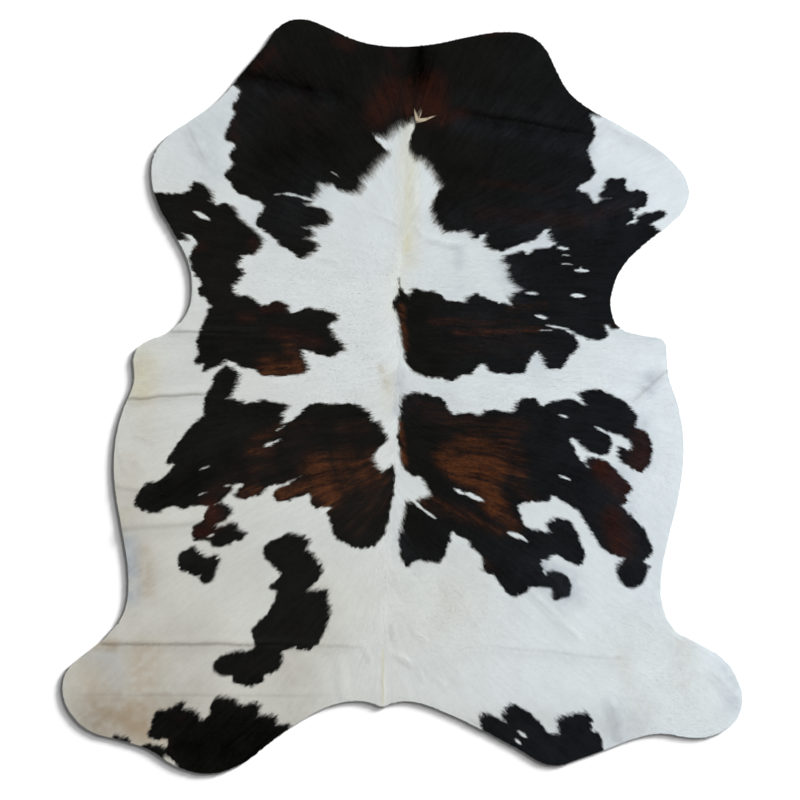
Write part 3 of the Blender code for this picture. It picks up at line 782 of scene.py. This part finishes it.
def darkness(places, flow, feather):
    """From 0 on white hair to 1 in the dark patches. Feather is a random number for each lock."""
    marks = places - MARKS_ORIGIN
    depth = patch_depth.at(marks)
    entering = np.clip(deeper_across.at(marks) * flow[:, 0] + deeper_along.at(marks) * flow[:, 1], 0.0, 1.0)
    fluff = strokes_at(places, FLUFFY)
    fringe = FRINGE_DEPTH * streaks(places, flow, FRINGE_LENGTH, FRINGE_WIDTH, salt=1)
    fringe = FRINGE_SHIFT + (fringe + FEATHER_DEPTH * feather) * (1.0 - FLUFF_EVENNESS * fluff)
    lobes = LOBE_DEPTH * (2.0 * np.abs(noise(places, LOBE_WIDTH, salt=2)) - 0.5)
    uneven = entering * fringe + (1.0 - entering) * lobes
    blur = EDGE_BLUR + entering * (FRINGE_BLUR + FLUFF_BLUR * fluff)
    in_patch = eased(EDGE_LEVEL + (depth + uneven) / blur)
    out_of_fleck = eased(0.5 - (fleck_depth(marks) + FLECK_UNEVEN * uneven) / FLECK_BLUR)
    return np.minimum(in_patch, out_of_fleck)


def streaky(strokes, brindle):
    """Strokes broken up by the brindle, which shows most where they are strong."""
    return eased(strokes * (BRINDLE_GAIN + BRINDLE_SWING * brindle) - BRINDLE_FOOT)


def markings_at(places, flow, feather):
    """Three sets of four numbers for each place, as the hair's material reads them."""
    brindle = streak_layers(places, flow, BRINDLE)
    rust = streaky(strokes_at(places, RUST), brindle)
    maroon = streaky(strokes_at(places, MAROON), MAROON_BRINDLE * brindle)
    tone = streak_layers(places, flow, TONE_STREAKS) + noise_layers(places, TONE_NOISES)
    tone = 0.5 + tone * (1.0 + RUFFLED_GAIN * strokes_at(places, RUFFLED))
    blotches = BLOTCH_LEVEL + noise_layers(places, BLOTCHES)
    blotchy = STAIN_LEVEL + (1.0 - STAIN_LEVEL) * eased(blotches)
    dust = strokes_at(places, DUST) * (DUST_LEVEL + DUST_BLOTCHES * blotches)
    tan = strokes_at(places, TAN) * blotchy
    # blue-grey stains on the white hair; the same share lays painted sheen on the dark hair
    blue_grey_and_sheen = strokes_at(places, BLUE_GREY_AND_SHEEN) * blotchy
    cream = strokes_at(places, CREAM) * eased(CREAM_LEVEL + streak_layers(places, flow, CREAM_STREAKS))
    dark = darkness(places, flow, feather)
    cool = COOL_AT_MIDDLE + places @ COOLING + COOLING_TWIST * places.prod(axis=1)
    cool_in_dark = np.clip(DARK_COOL_AT_MIDDLE + places @ DARK_COOLING, 0.0, 1.0)
    cool += dark * (cool_in_dark - cool) + noise_layers(places, COOL_NOISES)
    spare = np.ones(len(places))
    gloss = 1.0 - strokes_at(places, DULL_AND_CREASE_SHADE)
    return (
        np.stack((dark, rust, maroon, tone), axis=1),
        np.stack((dust, tan, blue_grey_and_sheen, spare), axis=1),
        np.stack((crease_shade_at(places), cool, cream, gloss), axis=1),
    )


def store(mesh, sets):
    """Keeps the markings, four numbers a set for each of the mesh's points."""
    for name, values in zip(MARKING_SETS, sets):
        layer = mesh.color_attributes.new(name, "FLOAT_COLOR", "POINT")
        layer.data.foreach_set("color", np.clip(values, 0.0, 1.0).astype(np.float32).ravel())


def link(tree, source, target):
    """Joins two sockets of a node tree."""
    tree.links.new(source, target)


def attribute(tree, name):
    """The three numbers and the fourth of a point attribute, as sockets."""
    node = tree.nodes.new("ShaderNodeAttribute")
    node.attribute_name = name
    parts = tree.nodes.new("ShaderNodeSeparateColor")
    link(tree, node.outputs["Color"], parts.inputs[0])
    return (*parts.outputs, node.outputs["Alpha"])


def mixed(tree, share, first, second):
    """A blend of two colours, each a plain colour or a socket."""
    mix = tree.nodes.new("ShaderNodeMix")
    mix.data_type = "RGBA"
    link(tree, share, mix.inputs["Factor"])
    for socket, value in zip((mix.inputs[6], mix.inputs[7]), (first, second)):
        if isinstance(value, tuple):
            socket.default_value = value
        else:
            link(tree, value, socket)
    return mix.outputs[2]


def multiply_add(tree, *values):
    """The first value times the second, plus the third, each a plain number or a socket."""
    node = tree.nodes.new("ShaderNodeMath")
    node.operation = "MULTIPLY_ADD"
    for socket, value in zip(node.inputs, values):
        if isinstance(value, float):
            socket.default_value = value
        else:
            link(tree, value, socket)
    return node.outputs[0]


def noise_texture(tree, scale, detail):
    """Noise over the whole object, with this many cells a metre."""
    place = tree.nodes.new("ShaderNodeTexCoord")
    node = tree.nodes.new("ShaderNodeTexNoise")
    node.inputs["Scale"].default_value = scale
    node.inputs["Detail"].default_value = detail
    link(tree, place.outputs["Object"], node.inputs["Vector"])
    return node.outputs["Fac"]


def new_material(name, roughness, specular):
    """A material of one shader: the material, its node tree and the shader."""
    made = bpy.data.materials.new(name)
    made.use_nodes = True
    shader = made.node_tree.nodes["Principled BSDF"]
    shader.inputs["Roughness"].default_value = roughness
    shader.inputs["Specular IOR Level"].default_value = specular
    return made, made.node_tree, shader


def hair_material():
    """Short lying hair, coloured by the markings of its points."""
    made, tree, shader = new_material("short_hair", HAIR_ROUGHNESS, HAIR_GLOSS)
    dark, rust, maroon, tone = attribute(tree, "markings")
    # blue_grey_and_sheen is a stain on the white hair and painted sheen on the dark hair
    dust, tan, blue_grey_and_sheen, _ = attribute(tree, "stains")
    # crease is painted crease shade, with dirt on the white hair
    crease, cool, cream, gloss = attribute(tree, "crease_shade_and_tints")
    white = mixed(tree, cool, WARM_WHITE_HAIR, COOL_WHITE_HAIR)
    stains = ((dust, DUSTY_HAIR), (tan, TAN_HAIR), (cream, CREAM_HAIR), (blue_grey_and_sheen, BLUE_GREY_HAIR))
    for share, tint in stains:
        white = mixed(tree, share, white, tint)
    # Painted crease shade, with dirt, on the white hair
    white = mixed(tree, crease, white, CREASE_SHADE_AND_DIRT)
    deep = mixed(tree, cool, WARM_BLACK_HAIR, COOL_BLACK_HAIR)
    deep = mixed(tree, maroon, deep, MAROON_HAIR)
    deep = mixed(tree, rust, deep, mixed(tree, rust, RUST_HAIR, FAWN_HAIR))
    # Painted sheen on the dark hair, where the blue-grey strokes lie
    deep = mixed(tree, blue_grey_and_sheen, deep, PAINTED_SHEEN)
    hair = mixed(tree, dark, white, deep)
    swing = multiply_add(tree, dark, DARK_TONE_SWING - WHITE_TONE_SWING, WHITE_TONE_SWING)
    strength = multiply_add(tree, multiply_add(tree, tone, 1.0, -0.5), swing, 1.0)
    # Painted crease shade on the dark hair
    strength = multiply_add(tree, multiply_add(tree, crease, dark, 0.0), CREASE_SHADE_DIMMING, strength)
    # Dull hair is painted darker; along the neck folds this is painted crease shade
    lost_gloss = multiply_add(tree, gloss, 1.0, -1.0)
    strength = multiply_add(tree, multiply_add(tree, lost_gloss, dark, 0.0), DULL_AND_SHADE_DIMMING, strength)
    shaded = tree.nodes.new("ShaderNodeVectorMath")
    shaded.operation = "SCALE"
    link(tree, hair, shaded.inputs[0])
    link(tree, strength, shaded.inputs["Scale"])
    link(tree, shaded.outputs[0], shader.inputs["Base Color"])
    link(tree, multiply_add(tree, gloss, HAIR_GLOSS, 0.0), shader.inputs["Specular IOR Level"])
    return made


def suede_material():
    """The napped underside of the leather."""
    made, tree, shader = new_material("suede", roughness=0.95, specular=0.1)
    nap = noise_texture(tree, scale=900.0, detail=4.0)
    mottle = noise_texture(tree, scale=14.0, detail=5.0)
    shade = multiply_add(tree, mottle, SUEDE_MOTTLE, SUEDE_LEVEL)
    link(tree, mixed(tree, shade, SUEDE_SHADE, SUEDE), shader.inputs["Base Color"])
    bump = tree.nodes.new("ShaderNodeBump")
    bump.inputs["Strength"].default_value = NAP_STRENGTH
    bump.inputs["Distance"].default_value = NAP_DEPTH
    link(tree, nap, bump.inputs["Height"])
    link(tree, bump.outputs["Normal"], shader.inputs["Normal"])
    return made


def add_object(name, data):
    """Adds an object to the scene with this mesh, light or camera in it."""
    made = bpy.data.objects.new(name, data)
    bpy.context.scene.collection.objects.link(made)
    return made


def sheet_mesh():
    """The leather's underside: rings along the cut edge and an even grid over the rest."""
    rim = evenly_spaced(outline, RIM_STEP)
    rings = [inset(rim, distance) for distance in RIM_RINGS]
    borders = []
    for number in range(len(rings)):
        first = number * len(rim)
        borders += [(first + i, first + (i + 1) % len(rim)) for i in range(len(rim))]
    grid = triangle_grid(SHEET_PITCH)
    grid = grid[hide_depth.at(grid) > RIM_RINGS[-1] + 0.5 * SHEET_PITCH]
    points = [Vector(point) for point in np.vstack((*rings, grid))]
    inside_borders = 1
    flat, _, triangles, _, _, _ = delaunay_2d_cdt(points, borders, [], inside_borders, MERGE_DISTANCE)
    places = np.array([tuple(point) for point in flat])
    mesh = bpy.data.meshes.new("leather")
    corners = np.column_stack((places, relief(places)))
    mesh.from_pydata(corners.tolist(), [], [list(triangle) for triangle in triangles])
    store(mesh, markings_at(places, flow_at(places), 0.0))
    mesh.shade_smooth()
    return mesh


def leather_sheet(hair, suede):
    """The leather as a thin closed sheet, with hair roots on top and suede below."""
    mesh = sheet_mesh()
    mesh.materials.append(hair)
    mesh.materials.append(suede)
    sheet = add_object("leather", mesh)
    solidify = sheet.modifiers.new("depth", "SOLIDIFY")
    solidify.thickness = LEATHER_DEPTH
    solidify.offset = 1.0
    solidify.use_even_offset = False
    solidify.material_offset = 1
    return sheet


def lock_roots(random):
    """Where the locks grow: a jittered grid over the hide."""
    roots = triangle_grid(LOCK_PITCH)
    roots = roots + random.uniform(-0.5, 0.5, roots.shape) * LOCK_PITCH
    return roots[hide_depth.at(roots) > ROOT_MARGIN]


def turned(directions, angles):
    """Directions, each turned anticlockwise by its own angle."""
    across, along = directions.T
    return np.stack((across * np.cos(angles) - along * np.sin(angles),
                     across * np.sin(angles) + along * np.cos(angles)), axis=1)


def triangle_mesh(name, corners, faces):
    """A mesh of many triangles, made at once."""
    mesh = bpy.data.meshes.new(name)
    mesh.vertices.add(len(corners))
    mesh.vertices.foreach_set("co", corners.ravel())
    mesh.loops.add(faces.size)
    mesh.loops.foreach_set("vertex_index", faces.ravel())
    mesh.polygons.add(len(faces))
    mesh.polygons.foreach_set("loop_start", np.arange(0, faces.size, 3))
    mesh.update(calc_edges=True)
    return mesh


def lock_corners(roots, flow, length, random):
    """The four corners of each lock, which is a flat kite over the leather."""
    count = len(roots)
    sideways = turned(flow, np.pi / 2) * (0.5 * LOCK_WIDTH * random.uniform(*LOCK_WIDTHS, count))[:, None]
    rise = LOCK_RISE * random.uniform(*LOCK_RISES, count)
    middle = roots + flow * (LOCK_MIDDLE * length)[:, None]
    corners = np.empty((count, 4, 3))
    flat_corners = (roots, middle - sideways, middle + sideways, roots + flow * length[:, None])
    for number, (places, lift) in enumerate(zip(flat_corners, LOCK_LIFTS)):
        corners[:, number, :2] = places
        corners[:, number, 2] = relief(places) + LEATHER_DEPTH + lift * rise
    return corners.reshape(-1, 3)


def lock_mesh(name, roots, random):
    """Locks of hair that lie along the flow, each of two triangles."""
    count = len(roots)
    flow = turned(flow_at(roots), np.radians(random.normal(0.0, LOCK_TURN, count)))
    length = LOCK_LENGTH * random.uniform(*LOCK_LENGTHS, count)
    past_edge = -OVERHANG - hide_depth.at(roots + flow * length[:, None])
    length = np.clip(length - EDGE_TRIM * np.clip(past_edge, 0.0, None), SHORTEST_LOCK, None)
    corners = lock_corners(roots, flow, length, random)
    base = 4 * np.arange(count)[:, None]
    faces = np.concatenate((base + (0, 1, 2), base + (1, 3, 2)), axis=1).reshape(-1, 3)
    mesh = triangle_mesh(name, corners, faces)
    coloured = roots + flow * (COLOUR_POINT * length)[:, None]
    sets = markings_at(coloured, flow, random.uniform(-1.0, 1.0, count))
    sets[0][:, 3] += random.uniform(-LOCK_TONE, LOCK_TONE, count)
    store(mesh, [np.repeat(values, 4, axis=0) for values in sets])
    add_flat_map(mesh, corners[faces.ravel(), :2])
    return mesh


def add_flat_map(mesh, places):
    """A map of the locks as seen from above, for the colours of a stored copy."""
    low = places.min(axis=0)
    span = places.max(axis=0) - low
    layer = mesh.uv_layers.new(name="OFBake")
    layer.data.foreach_set("uv", (MAP_MARGIN + (1.0 - 2.0 * MAP_MARGIN) * (places - low) / span).ravel())


def coat_pieces(hair):
    """The coat in a few pieces, from the neck to the rump."""
    random = np.random.default_rng(SEED + 1)
    roots = lock_roots(random)
    made = []
    for name, low, high in COAT_BANDS:
        band = roots[(roots[:, 1] >= low) & (roots[:, 1] < high)]
        mesh = lock_mesh(name, band, random)
        mesh.materials.append(hair)
        made.append(add_object(name, mesh))
    return made


def tuft_hairs(random):
    """The tuft's hairs: start, middle control point and end, in centimetres, and the direction sideways."""
    for root_across, root_along, tip_across, tip_along, bow, spread, count in TUFT:
        root = np.array((root_across, root_along))
        tip = np.array((tip_across, tip_along))
        sideways = turned((tip - root)[None], np.pi / 2)[0] / np.linalg.norm(tip - root)
        for _ in range(count):
            start = root + random.normal(0.0, spread, 2)
            aim = tip + random.normal(0.0, TUFT_TIP_SPREAD * spread, 2)
            end = start + (aim - start) * random.uniform(*TUFT_LENGTHS)
            control = (start + end) / 2 + sideways * (bow + random.normal(0.0, TUFT_BOW_SPREAD))
            yield start, control, end, sideways


def cream_tuft():
    """Longer cream hair that stands out at the withers, each hair a strip that tapers to its tip."""
    places = []
    lifts = []
    faces = []
    for start, control, end, sideways in tuft_hairs(np.random.default_rng(SEED + 2)):
        first = len(places)
        for t in np.linspace(0.0, 1.0, TUFT_STEPS):
            place = ((1 - t) ** 2 * start + 2 * t * (1 - t) * control + t**2 * end) * CM
            half = sideways * 0.5 * TUFT_HAIR_WIDTH * (1.0 - t)
            places += [place - half, place + half]
            lifts += [TUFT_RISE * min(1.0, TUFT_ROOT_RISE + TUFT_STEEPNESS * t)] * 2
        faces += [(first + 2 * i, first + 2 * i + 1, first + 2 * i + 3, first + 2 * i + 2)
                  for i in range(TUFT_STEPS - 1)]
    mesh = bpy.data.meshes.new("cream_tuft")
    heights = relief(np.array(places)) + LEATHER_DEPTH + np.array(lifts)
    mesh.from_pydata(np.column_stack((places, heights)).tolist(), [], faces)
    made, _, shader = new_material("cream_hair", roughness=0.45, specular=0.1)
    shader.inputs["Base Color"].default_value = TUFT_HAIR
    mesh.materials.append(made)
    return add_object("cream_tuft", mesh)


def floor():
    """A plain pale floor under the hide."""
    bpy.ops.mesh.primitive_plane_add(size=FLOOR_SIZE, location=(0.0, 0.0, -FLOOR_GAP))
    plane = bpy.context.active_object
    plane.name = "floor"
    made, tree, shader = new_material("pale_floor", roughness=0.9, specular=0.1)
    shade = noise_texture(tree, scale=3.0, detail=2.0)
    link(tree, mixed(tree, shade, FLOOR_SHADE, FLOOR_LIGHT), shader.inputs["Base Color"])
    plane.data.materials.append(made)
    return plane


def sun(name, azimuth, elevation, strength, spread, lit):
    """A soft light from far off that falls only on the objects in a list."""
    data = bpy.data.lights.new(name, "SUN")
    data.energy = strength
    data.angle = math.radians(spread)
    lamp = add_object(name, data)
    turn = math.radians(azimuth)
    rise = math.radians(elevation)
    towards = Vector((math.cos(turn) * math.cos(rise), math.sin(turn) * math.cos(rise), math.sin(rise)))
    lamp.rotation_mode = "QUATERNION"
    lamp.rotation_quaternion = towards.to_track_quat("Z", "Y")
    lamp.location = towards * LAMP_DISTANCE
    receivers = bpy.data.collections.new(name + "_receivers")
    for piece in lit:
        receivers.objects.link(piece)
    lamp.light_linking.receiver_collection = receivers


def surround():
    """A pale room, bright towards the horizon and dim overhead."""
    world = bpy.data.worlds.new("studio")
    world.use_nodes = True
    tree = world.node_tree
    place = tree.nodes.new("ShaderNodeTexCoord")
    parts = tree.nodes.new("ShaderNodeSeparateXYZ")
    link(tree, place.outputs["Generated"], parts.inputs[0])
    ramp = tree.nodes.new("ShaderNodeValToRGB")
    link(tree, parts.outputs["Z"], ramp.inputs[0])
    ramp.color_ramp.elements.new(HORIZON_STOP)
    for stop, level in zip(ramp.color_ramp.elements, ROOM_LEVELS):
        stop.color = (level, level, level, 1.0)
    link(tree, ramp.outputs[0], tree.nodes["Background"].inputs["Color"])
    bpy.context.scene.world = world


def studio(lit):
    """Soft light from above and the upper right, with low lights that give the hide its soft shadow."""
    surround()
    for name, (*sizes, target) in LIGHTS.items():
        sun(name, *sizes, lit[target])
    bpy.context.scene.view_settings.view_transform = "Standard"


def camera():
    """Looks straight down from far off, with the neck at the top of the picture."""
    data = bpy.data.cameras.new("camera")
    data.lens = LENS
    data.sensor_width = SENSOR
    data.clip_end = SIGHT
    eye = add_object("camera", data)
    eye.location = (*VIEW_CENTRE, VIEW_WIDTH * LENS / SENSOR)
    bpy.context.scene.camera = eye


def main():
    """Makes the hide, its light and the camera, hangs the pieces on the root body and hides the solid."""
    hair = hair_material()
    leather = leather_sheet(hair, suede_material())
    coat = [*coat_pieces(hair), cream_tuft()]
    for piece in (leather, *coat):
        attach(piece, "root")
    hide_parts("hide")
    studio({"hide": [leather, *coat], "floor": [floor()]})
    camera()


main()
